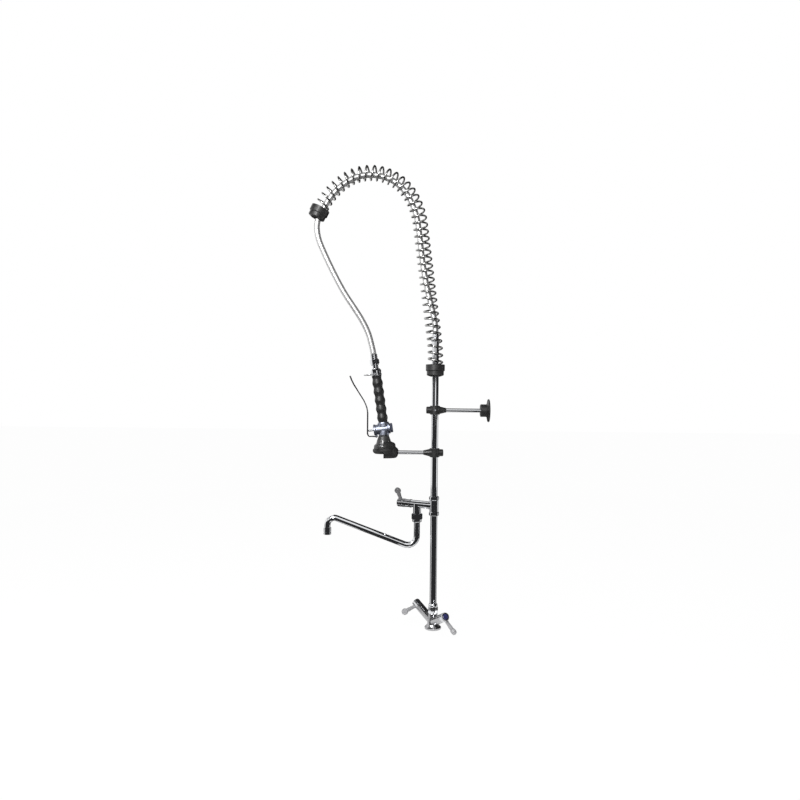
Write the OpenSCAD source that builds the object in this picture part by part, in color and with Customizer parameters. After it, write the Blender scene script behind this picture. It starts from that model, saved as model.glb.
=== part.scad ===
// Deck-mounted pre-rinse faucet: a single-hole mixer, a riser with an add-on tap and swing spout,
// an overhead hose spring and a lever hand spray parked in a cradle. Millimetres, +Z up, the
// riser stands on the Z axis and the deck is the plane z = 0. The user stands on the -X side.

/* [Deck mixer] */
// Radius of the deck flange
flange_r = 21.5; // [20.5:0.5:26]
// Thickness of the deck flange
flange_t = 6; // [5:0.5:8]
// Height where the arm axes cross the riser axis
arm_z = 17; // [16:0.5:19]
// Radius of each mixer arm
arm_r = 11; // [10.5:0.25:12.5]
// Length of each arm from the riser axis to its lever
arm_len = 62; // [54:1:75]
// Rise of the arms above level, in degrees
arm_rise = 25; // [20:1:30]
// Direction of the hot arm, seen from above
hot_turn = 126; // [115:1:140]
// Direction of the cold arm, seen from above
cold_turn = 292; // [285:1:305]
// Height of the mixer's neck, where the riser nut seats
neck_top = 40; // [37:0.5:44]
// Radius of the stud hole under the flange
stud_hole_r = 4; // [3:0.5:4.5]
// Depth of the stud hole
stud_depth = 12; // [8:1:14]
// Radius of the two inlet holes under the flange
inlet_hole_r = 3; // [2:0.25:3.25]
// Distance of each inlet hole from the riser axis
inlet_offset = 9; // [8.5:0.25:10]

/* [Levers and headworks] */
// Radius of the bore that a valve headwork fills
valve_bore_r = 7.5; // [6.75:0.25:8]
// Length of a headwork inside its arm
headwork_len = 26; // [20:1:30]
// Radius of a valve spindle
spindle_r = 4; // [3.5:0.25:5]
// Length of a lever's hub
hub_len = 20; // [19:0.5:24]
// Reach of a lever from its spindle axis to its tip
lever_reach = 50; // [44:1:60]
// Radius of a lever's neck
lever_neck_r = 4.5; // [2.5:0.1:4.8]
// Radius of a lever's paddle
paddle_r = 8.6; // [7:0.2:9]
// Thickness of a lever's paddle
paddle_t = 8; // [5:0.5:10]
// Rest turn of the hot lever from hanging straight down
hot_lever_turn = 67; // [0:1:80]
// Rest turn of the cold lever from hanging straight down
cold_lever_turn = 29; // [22:1:60]
// Rest turn of the tap lever from hanging straight down
tap_lever_turn = 146; // [100:1:180]
// Radius of the hot and cold index discs
index_r = 7; // [5:0.25:7.5]

/* [Riser and tee] */
// Outside radius of the riser
riser_r = 9; // [8.5:0.25:9.5]
// Wall of the riser and spout tubes
tube_wall = 1.5; // [1:0.25:2]
// Depth of the riser's seat in the mixer and the tee
riser_seat = 12; // [8:1:13]
// Height of the tee's lower end
tee_z = 294; // [280:1:300]
// Length of the tee
tee_len = 49; // [46:1:56]
// Radius of the tee's two ends
tee_end_r = 13; // [12:0.25:15]
// Radius of the tap branch
branch_r = 9.6; // [9.25:0.1:11]
// Length of the tap branch from the riser axis
branch_len = 67; // [64:1:75]
// Direction of the tap branch, seen from above
branch_turn = 150; // [140:1:175]
// Length of the tap's bonnet
bonnet_len = 20; // [14:1:26]
// Distance of the spout outlet along the branch
outlet_reach = 50; // [42:1:51]

/* [Spout] */
// Outside radius of the spout tube
spout_r = 8; // [7:0.25:8.5]
// Drop of the spout from the branch axis to the start of its bend
spout_drop = 84; // [76:1:100]
// Radius of the lower bend
low_bend_r = 24; // [18:1:30]
// Length of the straight rising run
rise_len = 191; // [150:1:230]
// Rise of that run above level, in degrees
rise_angle = 20.5; // [10:0.5:30]
// Radius of the bend over the basin
end_bend_r = 18; // [15:1:26]
// Straight length after the last bend
nozzle_len = 16; // [13:1:24]
// Radius of the aerator
aerator_r = 9.8; // [9.25:0.1:11]
// Length of the aerator
aerator_len = 19; // [15:1:22]
// Length of the spout's swivel nut
swivel_nut_len = 22; // [20:1:26]

/* [Clamps and rods] */
// Height of the spray hook's clamp
hook_z = 457; // [456:0.5:460]
// Height of the wall bracket's clamp
bracket_z = 567.5; // [540:0.5:600]
// Radius of the clamp's barrel round the riser
clamp_r = 13.2; // [12.75:0.25:16]
// Height of the clamp's barrel
clamp_h = 23; // [20:1:28]
// Radius of the two rods
rod_r = 4.9; // [4:0.1:5]
// Distance from the riser axis to the wall bracket's hub
bracket_reach = 118; // [90:1:160]
// Radius of the wall hub
wall_hub_r = 16.3; // [13:0.25:18]
// Length of the wall hub
wall_hub_len = 16; // [14:1:22]
// Radius of the wall flange
wall_flange_r = 29.8; // [28.5:0.1:36]
// Thickness of the wall flange at its middle
wall_flange_t = 7; // [6:0.5:9]
// Radius of the circle that the wall screws stand on
wall_screw_ring_r = 23; // [21.5:0.25:24]
// Radius of the wall screw holes
wall_screw_hole_r = 2.25; // [1.75:0.25:2.5]

/* [Hose spring] */
// Radius of the coil, to the middle of its wire
coil_r = 18; // [17.8:0.1:20]
// Radius of the spring wire
wire_r = 2.5; // [1.5:0.1:2.6]
// Rise of one turn along the spring
coil_pitch = 17.9; // [16:0.1:24]
// Height of the lower cap's floor, which the spring stands on
spring_seat = 672; // [660:1:674]
// Length of the riser above the lower cap's floor
riser_stub = 73; // [63:1:76]
// Length of the upright start of the spring
upright_len = 28; // [20:1:30]
// Lean of the long straight run, in degrees
spring_lean = 7.5; // [6:0.25:7.5]
// Length of the long straight run
lean_len = 301; // [280:1:330]
// Radius of the arch's shoulder bends
shoulder_r = 190; // [170:1:210]
// Radius of the arch's crown
crown_r = 120; // [110:1:130]
// Heading where the crown starts, in degrees from straight up
crown_from = 32; // [28:1:36]
// Heading where the crown ends
crown_to = 125; // [120:1:130]
// Heading of the spring's far end
end_heading = 154; // [146:1:156]
// Straight length at the spring's far end
tail_len = 10; // [10:1:20]
// Radius of the rim of the two spring caps
cap_rim_r = 24.7; // [24:0.1:28]
// Depth of the cups in the two spring caps
cap_cup = 14; // [10:1:18]

/* [Hand spray] */
// Distance of the hand spray's head from the riser axis
spray_reach = 132; // [130:0.5:134]
// Height of the valve's middle above the hook's rod
spray_rise = 61; // [60.5:0.25:62]
// Lean of the grip away from the riser, in degrees
spray_lean = 8.5; // [8:0.25:9]
// Radius of the valve barrel
barrel_r = 13.5; // [13:0.1:13.75]
// Length of the valve barrel on the lever side
barrel_front = 27; // [26.5:0.25:28]
// Length of the valve barrel on the riser side
barrel_back = 16; // [14:0.5:22]
// Mean radius of the grip
grip_r = 12.7; // [12:0.1:13]
// Depth of the grip's finger waves
grip_wave = 1.2; // [0.5:0.1:1.5]
// Spacing of the grip's finger waves
grip_pitch = 22.6; // [20:0.1:24]
// Height of the grip's top end along its axis
grip_top = 139; // [130:1:142]
// Radius of the handle's collar
collar_r = 13.6; // [12.9:0.1:14]
// Length of the handle's collar
collar_len = 18.5; // [16:0.5:22]
// Radius of the hose
hose_r = 7.5; // [6:0.25:7.75]
// Length of the crimped ferrules
crimp_len = 13; // [11:1:14]

/* [Spray head] */
// Radius of the bell's top neck
bell_neck_r = 12.5; // [12:0.25:13.5]
// Radius of the rubber bumper
bumper_r = 28.6; // [28:0.1:30]
// Wall of the cradle outside the bumper
cradle_wall = 9; // [6.5:0.5:12]
// Drop of the bell's rim below the hook's rod
bell_drop = 3.7; // [3:0.1:4.5]
// Number of spray holes in the outer ring
spray_holes = 18; // [12:2:22]
// Radius of a spray hole
spray_hole_r = 0.8; // [0.5:0.1:1]

/* [Trigger] */
// Thickness of the trigger strip
trigger_t = 3; // [2:0.25:3.5]
// Width of the trigger strip
trigger_w = 16; // [14.5:0.5:20]
// Radius of the trigger's pivot pin
pin_r = 1.6; // [1.25:0.05:1.75]
// Radius of the wire of the hold-open ring
ring_wire_r = 1.1; // [0.8:0.05:1.3]
// Reach of the hold-open ring in front of its pivots
ring_reach = 32; // [24:0.5:33]

/* [Hidden] */
$fn = 64;

fit = 0.05;                  // radial clearance of a shaft in its bore
gap = 0.3;                   // clearance between parts that move past each other
cut = 0.5;                   // overrun of a cut past the face it opens
small_fn = 32;               // roundness of screws, pins and wires

// levers
gland_len = 4.2;             // how far a headwork's gland stands out of its bore
gland_r = valve_bore_r - 0.7;
spline_r = spindle_r - 0.5;
screw_r = 1.5;
screw_head_r = 3;
screw_head_t = 2.2;
hub_web = 1.5;               // wall that the lever screw clamps
index_t = 2.4;
hub_cavity = gland_len + 2 * gap;
web_z = hub_len - index_t - screw_head_t - 2 * gap - hub_web;
paddle_mid = lever_reach - paddle_r;
neck_root = arm_r - 2;

// tee, tap and spout
tee_top = tee_z + tee_len;
riser_top = spring_seat + riser_stub;
branch_z = tee_z + 25.5;
tap_front = branch_len + bonnet_len;
outlet_x = outlet_reach * cos(branch_turn);
outlet_y = outlet_reach * sin(branch_turn);
outlet_neck_r = spout_r + 2.5;
outlet_thread_r = outlet_neck_r + 0.9;
outlet_end = branch_z - 36.5;
spout_nut_low = outlet_end - 10.5;
spout_flange_t = 2.4;
spout_top = branch_z - 12;
bend_turn = 90 + rise_angle;
bore_r = riser_r - 2;

// clamps
clamp_block = 22.5;          // length of the clamp on the side away from its rod
clamp_nose = 29.5;           // length of the clamp's tapered nose
rod_socket = 15;             // where the rod's inner end lies in the nose
rod_bite = 30;               // length of the cradle's bore, measured back from the rod's end
grub_r = 2.5;

// spring caps
cup_r = coil_r + wire_r + gap;
cap_body_r = cap_rim_r - 2.5;
cap_floor = 17.5;            // height of a cap below its cup
seat_bite = 0.6;             // how deep the spring's ends press into the caps
coil_steps = 16;             // wire rings in one turn of the spring

// hand spray, along its own leaning axis unless said otherwise
spray_x = -spray_reach;
spray_z = hook_z + spray_rise;
core_r = 8;
core_bore_r = 5.5;
grip_foot = 17.3;
collar_top = grip_top + collar_len;
handle_neck = collar_top + 9;
nut_foot = handle_neck + gap;
nut_len = 15;
crimp_foot = nut_foot + nut_len;
hose_foot = crimp_foot + crimp_len;
piston_r = 7.2;
chamber_r = piston_r + 1.2;
chamber_end = -14.3;
stem_r = 2.5;
seal_t = 2;
piston_back = chamber_end + gap + seal_t + 3;
plug_face = 10;

// spray head, about its own upright axis
bell_foot = hook_z - bell_drop;
bell_top = bell_foot + 48;
step_z = bell_foot + 22;     // shoulder of the bell
bumper_top = bell_foot + 11.9;
face_z = bell_foot + 5;
bell_r = bumper_r - 3;
face_r = bell_r - 4.6;
cradle_low = bell_foot - 10;

// trigger, in the upright plane through the hand spray
pivot_x = spray_x - 22 * cos(spray_lean) + 16.8 * sin(spray_lean);
pivot_z = spray_z - 22 * sin(spray_lean) - 16.8 * cos(spray_lean);
strip_x = pivot_x - 23.4;    // middle of the upright part of the strip
stem_tip_u = -(spray_x - strip_x - trigger_t / 2 - gap) / cos(spray_lean);
ear_r = pin_r + 1.4;

// the hose's route between its two ferrules, chosen along the spring and then hanging free
hose_route = [
    [-3, 798], [-12, 838], [-22, 878], [-30, 918], [-36.5, 958], [-41.5, 998], [-46, 1034],
    [-52.5, 1070], [-65, 1104.5], [-83, 1135], [-110, 1160], [-142, 1173.5], [-175.5, 1177.5],
    [-209, 1171.5], [-240, 1154.5], [-265, 1132.5], [-284, 1107], [-292.5, 1091.5],
    [-301.3, 1075.5],
    [-308.3, 1060.5], [-311.3, 1044], [-310, 1025], [-304.5, 1003], [-291, 971.5], [-275, 938],
    [-257, 903], [-237, 868], [-215, 835], [-194, 803], [-177, 770], [-167, 738]];
crimp_top_z = riser_top + 12;
hose_start_z = crimp_top_z + crimp_len;
hose_end = hose_foot + 0.02;  // the hose meets its swivelling ferrule without pressing on it
hose_ends = [[0, hose_start_z],
    [spray_x - hose_end * sin(spray_lean), spray_z + hose_end * cos(spray_lean)]];
hose_sides = 12;

// ---------------------------------------------------------------- frames and shared shapes

// an arm's frame: +Z runs out along the arm, +X hangs down, seen with the arm level
module arm_frame(turn, rise, height)
    translate([0, 0, height]) rotate([0, 0, turn]) rotate([0, 90 - rise, 0]) children();

module hot_frame() arm_frame(hot_turn, arm_rise, arm_z) children();
module cold_frame() arm_frame(cold_turn, arm_rise, arm_z) children();
module tap_frame() arm_frame(branch_turn, 0, branch_z) children();

// the hand spray's frame: +Z up the leaning grip, +X back along the valve barrel
module spray_frame() translate([spray_x, 0, spray_z]) rotate([0, -spray_lean, 0]) children();
module barrel_frame() spray_frame() rotate([0, 90, 0]) children();
module bell_frame() translate([spray_x, 0, 0]) children();
module spout_frame() translate([outlet_x, outlet_y, branch_z]) children();

module turned(points) rotate_extrude() polygon(points);

module tube(r, wall, z0, z1) difference() {
    translate([0, 0, z0]) cylinder(r = r, h = z1 - z0);
    translate([0, 0, z0 - cut]) cylinder(r = r - wall, h = z1 - z0 + 2 * cut);
}

module hexagon(flats, h) cylinder(r = flats / sqrt(3), h = h, $fn = 6);

// a hexagon nut with both ends chamfered
module hex_nut(flats, h) intersection() {
    hexagon(flats, h);
    turned([[0, 0], [flats / 2, 0], [flats / sqrt(3), 1], [flats / sqrt(3), h - 1],
        [flats / 2, h], [0, h]]);
}

// ---------------------------------------------------------------- routes and swept solids

// A route runs in the XZ plane as legs of [length, turn]. A place on it is [x, z, heading], and a
// heading is measured from straight up towards -X.
function arc_len(radius, turn) = radius * turn * PI / 180;
function along(at, len, turn) = let (h = at[2], r = turn == 0 ? 0 : len / (turn * PI / 180))
    turn == 0 ? [at[0] - len * sin(h), at[1] + len * cos(h), h]
    : [at[0] - r * (cos(h) - cos(h + turn)), at[1] + r * (sin(h + turn) - sin(h)), h + turn];
function route(legs, s, at, leg = 0) = let (len = legs[leg][0], turn = legs[leg][1])
    s <= len || leg == len(legs) - 1 ? along(at, s, turn * s / len)
    : route(legs, s - len, along(at, len, turn), leg + 1);
function total(list, i = 0) = i == len(list) ? 0 : list[i][0] + total(list, i + 1);
function unit(v) = v / norm(v);

// a ring of points square to a heading [x, z]
function flat_ring(p, heading, r, sides) = [for (j = [0:sides - 1])
    [p[0], 0, p[1]] + r * (cos(360 * j / sides) * [heading[1], 0, -heading[0]]
        + sin(360 * j / sides) * [0, 1, 0])];

// a solid swept through equal rings of points; a looped one joins its last ring to its first
module swept(rings, looped = false) {
    n = len(rings[0]);
    last = len(rings) - 1;
    polyhedron(points = [for (ring = rings, p = ring) p],
        faces = concat(
            looped ? [] : [[for (j = [0:n - 1]) j], [for (j = [n - 1:-1:0]) last * n + j]],
            [for (i = [0:looped ? last : last - 1], j = [0:n - 1])
                let (k = (j + 1) % n, m = (i + 1) % (last + 1))
                each [[i * n + j, m * n + j, m * n + k], [i * n + j, m * n + k, i * n + k]]]),
        convexity = 10);
}

// ---------------------------------------------------------------- valve headworks and levers

// a ceramic-disc headwork whose flange face lies at z = front
module headwork(front, len) difference() {
    union() {
        translate([0, 0, front - len]) cylinder(r = valve_bore_r - fit, h = len);
        translate([0, 0, front]) cylinder(r = gland_r, h = gland_len);
    }
    translate([0, 0, front - 12]) cylinder(r = spindle_r + fit, h = 12 + gland_len + cut);
}

module spindle(front) difference() {
    union() {
        translate([0, 0, front - 12 + gap]) cylinder(r = spindle_r, h = 12 + gland_len);
        translate([0, 0, front + gland_len]) cylinder(r = spline_r, h = web_z - gland_len - gap);
    }
    translate([0, 0, front + 3]) cylinder(r = screw_r + fit, h = web_z, $fn = small_fn);
}

module lever_screw(front) difference() {
    translate([0, 0, front]) union() {
        translate([0, 0, 4]) cylinder(r = screw_r, h = web_z + hub_web - 4, $fn = small_fn);
        translate([0, 0, web_z + hub_web]) cylinder(r = screw_head_r, h = screw_head_t);
    }
    translate([0, 0, front + web_z + hub_web + screw_head_t - 1]) hexagon(2.5, 1 + cut);
}

module index_disc(front) translate([0, 0, front + hub_len - index_t])
    turned([[0, 0], [index_r, 0], [index_r, index_t - 0.4], [index_r - 0.8, index_t + 0.1],
        [0, index_t + 0.3]]);

// a paddle lever: a cup-shaped hub over the gland and a necked paddle
module lever(front, turn) difference() {
    union() {
        translate([0, 0, front])
            turned([[0, gap], [arm_r, gap], [arm_r, hub_len - 1.6], [arm_r - 0.5, hub_len - 0.5],
                [arm_r - 1.6, hub_len], [0, hub_len]]);
        rotate([0, 0, turn]) translate([0, 0, front + hub_len / 2 - 1]) intersection() {
            rotate([0, 90, 0]) union() {
                turned([[0, neck_root], [lever_neck_r + 0.6, neck_root], [lever_neck_r, 16],
                    [lever_neck_r + 0.1, 0.45 * lever_reach], [lever_neck_r + 0.8, 0.58 * lever_reach],
                    [0.6 * paddle_r, paddle_mid - 0.8 * paddle_r], [0, paddle_mid - 0.4 * paddle_r]]);
                translate([0, 0, paddle_mid]) sphere(r = paddle_r);
            }
            translate([0, -paddle_t / 2, -paddle_r]) cube([lever_reach + 1, paddle_t, 2 * paddle_r]);
        }
    }
    translate([0, 0, front]) {
        translate([0, 0, -cut]) cylinder(r = gland_r + gap, h = hub_cavity + cut);
        cylinder(r = spline_r + fit, h = web_z);
        cylinder(r = screw_r + 0.2, h = hub_len, $fn = small_fn);
        translate([0, 0, web_z + hub_web]) cylinder(r = screw_head_r + 0.2, h = hub_len);
        translate([0, 0, hub_len - index_t]) cylinder(r = index_r + fit, h = index_t + cut);
    }
}

// ---------------------------------------------------------------- deck mixer

seal_out_r = flange_r - 2;
seal_in_r = inlet_offset + inlet_hole_r + 2;
seal_t_deck = 1.6;
inlet_depth = arm_z - 6;

module base_seal() color("#2b2b2b")
    tube(seal_out_r - fit, seal_out_r - seal_in_r - 2 * fit, 0, seal_t_deck);

module mixer_body() color("silver") difference() {
    union() {
        turned([[0, 0], [flange_r - 0.8, 0], [flange_r, 0.8], [flange_r, flange_t - 1.4],
            [flange_r - 1.2, flange_t], [flange_r - 4.1, flange_t + 2.6],
            [flange_r - 6.3, flange_t + 6.5], [riser_r + 4.6, 0.55 * neck_top],
            [riser_r + 3.6, 0.75 * neck_top], [riser_r + 3, neck_top - 1],
            [riser_r + 2.4, neck_top], [0, neck_top]]);
        hot_frame() cylinder(r = arm_r, h = arm_len);
        cold_frame() cylinder(r = arm_r, h = arm_len);
    }
    difference() {
        translate([0, 0, -cut]) cylinder(r = seal_out_r, h = seal_t_deck + cut);
        translate([0, 0, -2 * cut]) cylinder(r = seal_in_r, h = seal_t_deck + 3 * cut);
    }
    translate([0, 0, -cut]) cylinder(r = stud_hole_r, h = stud_depth + cut);
    for (side = [-1, 1]) rotate([0, 0, hot_turn]) translate([side * inlet_offset, 0, -cut])
        cylinder(r = inlet_hole_r, h = inlet_depth + cut);
    translate([0, 0, neck_top - riser_seat]) cylinder(r = riser_r + fit, h = riser_seat + cut);
    for (turn = [hot_turn, cold_turn]) arm_frame(turn, arm_rise, arm_z)
        translate([0, 0, arm_len - headwork_len]) cylinder(r = valve_bore_r, h = headwork_len + cut);
}

module riser_nut() color("silver") translate([0, 0, neck_top]) difference() {
    union() {
        hex_nut(22, 17);
        translate([0, 0, 17]) turned([[0, -1], [10.8, -1], [11.6, 2], [11.6, 5], [10.4, 8], [0, 8]]);
    }
    translate([0, 0, -cut]) cylinder(r = riser_r + fit, h = 30);
}

module hot_headwork() color("goldenrod") hot_frame() headwork(arm_len, headwork_len - gap);
module cold_headwork() color("goldenrod") cold_frame() headwork(arm_len, headwork_len - gap);
module hot_spindle() color("gold") hot_frame() spindle(arm_len);
module cold_spindle() color("gold") cold_frame() spindle(arm_len);
module hot_lever() color("lightgray") hot_frame() lever(arm_len, hot_lever_turn);
module cold_lever() color("lightgray") cold_frame() lever(arm_len, cold_lever_turn);
module hot_lever_screw() color("dimgray") hot_frame() lever_screw(arm_len);
module cold_lever_screw() color("dimgray") cold_frame() lever_screw(arm_len);
module hot_index() color("darkred") hot_frame() index_disc(arm_len);
module cold_index() color("#2b2f66") cold_frame() index_disc(arm_len);

// ---------------------------------------------------------------- riser, tee and tap

module riser_lower() color("silver")
    tube(riser_r, tube_wall, neck_top - riser_seat, tee_z + riser_seat);
module riser_upper() color("silver") tube(riser_r, tube_wall, tee_top - riser_seat, riser_top);

module tee_body() color("silver") difference() {
    union() {
        turned([[0, tee_z], [tee_end_r - 0.8, tee_z], [tee_end_r, tee_z + 0.8],
            [tee_end_r, tee_z + 8], [tee_end_r - 1.6, tee_z + 9.5],
            [tee_end_r - 1.6, tee_top - 9.5], [tee_end_r, tee_top - 8],
            [tee_end_r, tee_top - 0.8], [tee_end_r - 0.8, tee_top], [0, tee_top]]);
        tap_frame() cylinder(r = branch_r, h = branch_len);
        tap_frame() cylinder(r = branch_r + 1.2, h = tee_end_r + 2);
        spout_frame() translate([0, 0, outlet_end - branch_z]) {
            cylinder(r = outlet_neck_r, h = branch_z - outlet_end);
            cylinder(r = outlet_thread_r, h = 11);
        }
    }
    translate([0, 0, tee_z - cut]) cylinder(r = riser_r + fit, h = riser_seat + cut);
    translate([0, 0, tee_top - riser_seat]) cylinder(r = riser_r + fit, h = riser_seat + cut);
    translate([0, 0, tee_z]) cylinder(r = bore_r, h = tee_len);
    tap_frame() cylinder(r = valve_bore_r - 1.5, h = branch_len);
    tap_frame() translate([0, 0, branch_len - 6]) cylinder(r = valve_bore_r, h = 6 + cut);
    spout_frame() translate([0, 0, outlet_end - branch_z - cut])
        cylinder(r = spout_r + fit, h = spout_top + 2 - outlet_end + cut);
}

module tap_headwork() color("goldenrod") tap_frame() headwork(tap_front, bonnet_len + 6 - gap);
module tap_bonnet() color("gray") tap_frame() difference() {
    translate([0, 0, branch_len]) turned([[0, 0], [arm_r - 0.6, 0], [arm_r, 0.6],
        [arm_r, 3], [arm_r - 0.7, 3.7], [arm_r - 0.7, bonnet_len - 2], [arm_r, bonnet_len - 1.2],
        [arm_r, bonnet_len], [0, bonnet_len]]);
    translate([0, 0, branch_len - cut]) cylinder(r = valve_bore_r, h = bonnet_len + 2 * cut);
}
module tap_spindle() color("gold") tap_frame() spindle(tap_front);
module tap_lever() color("lightgray") tap_frame() lever(tap_front, tap_lever_turn);
module tap_lever_screw() color("dimgray") tap_frame() lever_screw(tap_front);
module tap_index() color("gray") tap_frame() index_disc(tap_front);

// ---------------------------------------------------------------- swing spout

// the lower end of the spout's nozzle
module nozzle_frame() {
    low = [-low_bend_r, 0, -spout_drop];
    rise_to = low + low_bend_r * [cos(bend_turn), 0, -sin(bend_turn)]
        + rise_len * [-cos(rise_angle), 0, sin(rise_angle)];
    high = rise_to + end_bend_r * [-sin(rise_angle) - 1, 0, -cos(rise_angle)];
    spout_frame() translate(high + [0, 0, -nozzle_len]) children();
}

seal_groove = 1.1;
spout_bore_r = spout_r - tube_wall - 0.3;
spout_head = spout_top - branch_z;
seal_zs = [spout_head - 4, spout_head - 9];
spout_flange_z = outlet_end - branch_z - gap - spout_flange_t;
spout_sides = 28;
bend_steps = 9;

// The spout's middle line: straight down, up through the low bend, along the run and down again.
leg_len = spout_head + spout_drop;
bend_1 = arc_len(low_bend_r, bend_turn);
bend_2 = arc_len(end_bend_r, bend_turn);
spout_legs = [[leg_len, 0], [bend_1, -bend_turn], [rise_len, 0], [bend_2, bend_turn],
    [nozzle_len, 0]];
spout_start = [0, spout_head, 180];
spout_bend_ss = concat(
    [for (i = [0:bend_steps]) leg_len + bend_1 * i / bend_steps],
    [for (i = [0:bend_steps]) leg_len + bend_1 + rise_len + bend_2 * i / bend_steps],
    [leg_len + bend_1 + rise_len + bend_2 + nozzle_len]);

// [distance along the middle line, radius] of every ring: down the outside, back up the bore
spout_rings = concat(
    [[0, spout_r]],
    [for (z = seal_zs, e = [[1, 0], [1, seal_groove], [-1, seal_groove], [-1, 0]])
        [spout_head - z - e[0], spout_r - e[1]]],
    [for (e = [[spout_flange_t, spout_r], [spout_flange_t, outlet_neck_r], [0, outlet_neck_r],
        [0, spout_r]]) [spout_head - spout_flange_z - e[0], e[1]]],
    [for (s = spout_bend_ss) [s, spout_r]],
    [for (i = [len(spout_bend_ss) - 1:-1:0]) [spout_bend_ss[i], spout_bore_r]],
    [[0, spout_bore_r]]);

module spout_tube() color("silver") spout_frame() swept([for (e = spout_rings)
    let (at = route(spout_legs, e[0], spout_start))
    flat_ring(at, [-sin(at[2]), cos(at[2])], e[1], spout_sides)], true);

module spout_seals() color("#2b2b2b") spout_frame() for (z = seal_zs)
    tube(spout_r, seal_groove - fit, z - 0.9, z + 0.9);

module spout_nut() color("silver") translate([outlet_x, outlet_y, spout_nut_low]) difference() {
    union() {
        translate([0, 0, 7]) hex_nut(25, swivel_nut_len - 7);
        turned([[0, 0], [11.4, 0], [12.3, 1.2], [12.3, 8], [0, 8]]);
    }
    translate([0, 0, -cut]) cylinder(r = spout_r + gap, h = swivel_nut_len);
    translate([0, 0, outlet_end - spout_nut_low - spout_flange_t - 2 * gap])
        cylinder(r = outlet_thread_r + fit, h = swivel_nut_len);
}

module aerator_shell() color("silver") nozzle_frame() difference() {
    translate([0, 0, 9 - aerator_len]) union() {
        turned([[0, 0], [aerator_r - 1, 0], [aerator_r, 0.8], [aerator_r, 5], [aerator_r - 0.5, 5.6],
            [aerator_r - 0.5, 7], [aerator_r, 7.6], [aerator_r, aerator_len - 1],
            [aerator_r - 0.8, aerator_len], [0, aerator_len]]);
    }
    cylinder(r = spout_r + fit, h = 9 + cut);
    translate([0, 0, 8 - aerator_len - cut]) cylinder(r = spout_r - 1, h = aerator_len);
}

module aerator_core() color("#4a4a4a") nozzle_frame() translate([0, 0, 10.5 - aerator_len])
    difference() {
        cylinder(r = spout_r - 1 - fit, h = aerator_len - 11);
        for (ring = [[1, 0], [6, 2.4], [12, 4.8]], i = [0:ring[0] - 1])
            rotate([0, 0, i * 360 / ring[0]]) translate([ring[1], 0, -cut])
                cylinder(r = 0.7, h = aerator_len, $fn = 16);
    }

// ---------------------------------------------------------------- clamps, hook and bracket

// a moulded clamp about the riser, its tapered nose along +X
module clamp_body() difference() {
    union() {
        rotate([0, 90, 0]) turned([[0, -clamp_block], [7.4, -clamp_block], [9, 1.6 - clamp_block],
            [9.2, -12], [clamp_h / 2 - 0.6, -9], [clamp_h / 2 - 0.4, 9], [9.4, 14],
            [rod_r + 3, 20], [rod_r + 0.9, clamp_nose - 0.6], [rod_r + 0.4, clamp_nose],
            [0, clamp_nose]]);
        turned([[0, -clamp_h / 2], [clamp_r - 1.4, -clamp_h / 2], [clamp_r, 1.4 - clamp_h / 2],
            [clamp_r, clamp_h / 2 - 1.4], [clamp_r - 1.4, clamp_h / 2], [0, clamp_h / 2]]);
    }
    translate([0, 0, -clamp_h]) cylinder(r = riser_r + fit, h = 2 * clamp_h);
    rotate([0, 90, 0]) translate([0, 0, rod_socket])
        cylinder(r = rod_r + fit, h = clamp_nose);
    rotate([90, 0, 0]) cylinder(r = grub_r + fit, h = clamp_r + 1, $fn = small_fn);
}

module grub_screw() rotate([90, 0, 0]) difference() {
    translate([0, 0, riser_r + 2 * fit]) cylinder(r = grub_r, h = clamp_r - riser_r - 0.5,
        $fn = small_fn);
    translate([0, 0, clamp_r - 2]) hexagon(2.5, 3);
}

module rod(len) rotate([0, 90, 0]) translate([0, 0, rod_socket])
    cylinder(r = rod_r, h = len - rod_socket);

cradle_out_r = bumper_r + 0.5 + cradle_wall;
hook_rod_end = spray_reach - bumper_r - 4;

module hook_frame() translate([0, 0, hook_z]) rotate([0, 0, 180]) children();
module hook_clamp() color("#2b2b2b") hook_frame() clamp_body();
module hook_screw() color("gray") hook_frame() grub_screw();
module hook_rod() color("silver") hook_frame() rod(hook_rod_end);

module bracket_frame() translate([0, 0, bracket_z]) children();
module bracket_clamp() color("#2b2b2b") bracket_frame() clamp_body();
module bracket_screw() color("gray") bracket_frame() grub_screw();
module bracket_rod() color("silver") bracket_frame() rod(bracket_reach + 10);

module wall_hub() color("#2b2b2b") bracket_frame() translate([bracket_reach, 0, 0])
    rotate([0, 90, 0]) difference() {
        turned([[0, 0], [wall_hub_r - 1.2, 0], [wall_hub_r, 1.2], [wall_hub_r, wall_hub_len],
            [0, wall_hub_len]]);
        translate([0, 0, -cut]) cylinder(r = rod_r + fit, h = 10 + cut);
    }

module wall_flange() color("#2b2b2b") bracket_frame()
    translate([bracket_reach + wall_hub_len, 0, 0]) rotate([0, 90, 0]) difference() {
        turned([[0, 0], [wall_hub_r + 0.6, 0], [wall_hub_r + 2, 1], [wall_flange_r - 4, 2.6],
            [wall_flange_r - 0.8, 3.4], [wall_flange_r, 4.4], [wall_flange_r, wall_flange_t - 0.8],
            [wall_flange_r - 0.8, wall_flange_t], [0, wall_flange_t]]);
        for (a = [60, 180, 300]) rotate([0, 0, a]) translate([wall_screw_ring_r, 0, -cut])
            cylinder(r = wall_screw_hole_r, h = wall_flange_t + 2 * cut, $fn = small_fn);
    }

// ---------------------------------------------------------------- hose spring and its caps

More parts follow.
